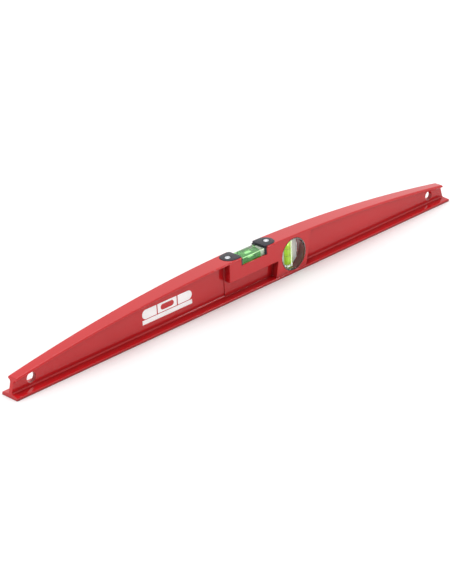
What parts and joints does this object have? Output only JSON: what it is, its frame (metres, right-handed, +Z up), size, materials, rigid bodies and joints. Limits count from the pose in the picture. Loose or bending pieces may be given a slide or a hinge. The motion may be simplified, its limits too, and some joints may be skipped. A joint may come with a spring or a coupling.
{
  "type": "spirit level",
  "caption": "Cast I-section spirit level with an arched red body, a green horizontal vial in a top window under black screwed holders, a round plumb vial and hang holes.",
  "frame": {"origin": "centre of the measuring face at the bottom of the level", "axes": "+X along the level towards the plumb vial, +Y across it away from the marked side, +Z up from the measuring face"},
  "size_m": [0.6, 0.0218, 0.0422],
  "materials": {
    "red_coat": "glossy red powder coat on cast aluminium",
    "resin": "matte",
    "clear_acrylic": "polished",
    "green_liquid": "clear green liquid",
    "lime_liquid": "clear yellow-green liquid",
    "black_line": "printed",
    "bubble": "air",
    "black_plastic": "satin moulded",
    "zinc_steel": "bright zinc plating",
    "white_plastic": "gloss",
    "white_print": "printed"
  },
  "bodies": {
    "level": {"casting": "red_coat", "vial_bed": "resin", "vial_block": "clear_acrylic", "vial_plug_left": "white_plastic", "vial_plug_right": "white_plastic", "vial_liquid": "green_liquid", "vial_line_left": "black_line", "vial_line_right": "black_line", "holder_left": "black_plastic", "holder_right": "black_plastic", "holder_screws": "zinc_steel", "plumb_frame": "white_plastic", "plumb_bezel_front": "clear_acrylic", "plumb_bezel_back": "clear_acrylic", "plumb_block": "clear_acrylic", "plumb_plug_top": "clear_acrylic", "plumb_plug_bottom": "clear_acrylic", "plumb_liquid": "lime_liquid", "plumb_line_upper": "black_line", "plumb_line_lower": "black_line", "front_mark": "white_print"},
    "horizontal_bubble": {"vial_bubble": "bubble"},
    "vertical_bubble": {"plumb_bubble": "bubble"}
  },
  "joints": [
    {"name": "horizontal_bubble_slide", "type": "slide", "parent": "level", "child": "horizontal_bubble", "axis": [1, 0, 0], "range_m": [-0.0072, 0.0072], "stiffness_N_per_m": 5},
    {"name": "vertical_bubble_slide", "type": "slide", "parent": "level", "child": "vertical_bubble", "axis": [0, 0, 1], "range_m": [-0.0198, 0], "stiffness_N_per_m": 5, "springref_m": 0.003}
  ]
}
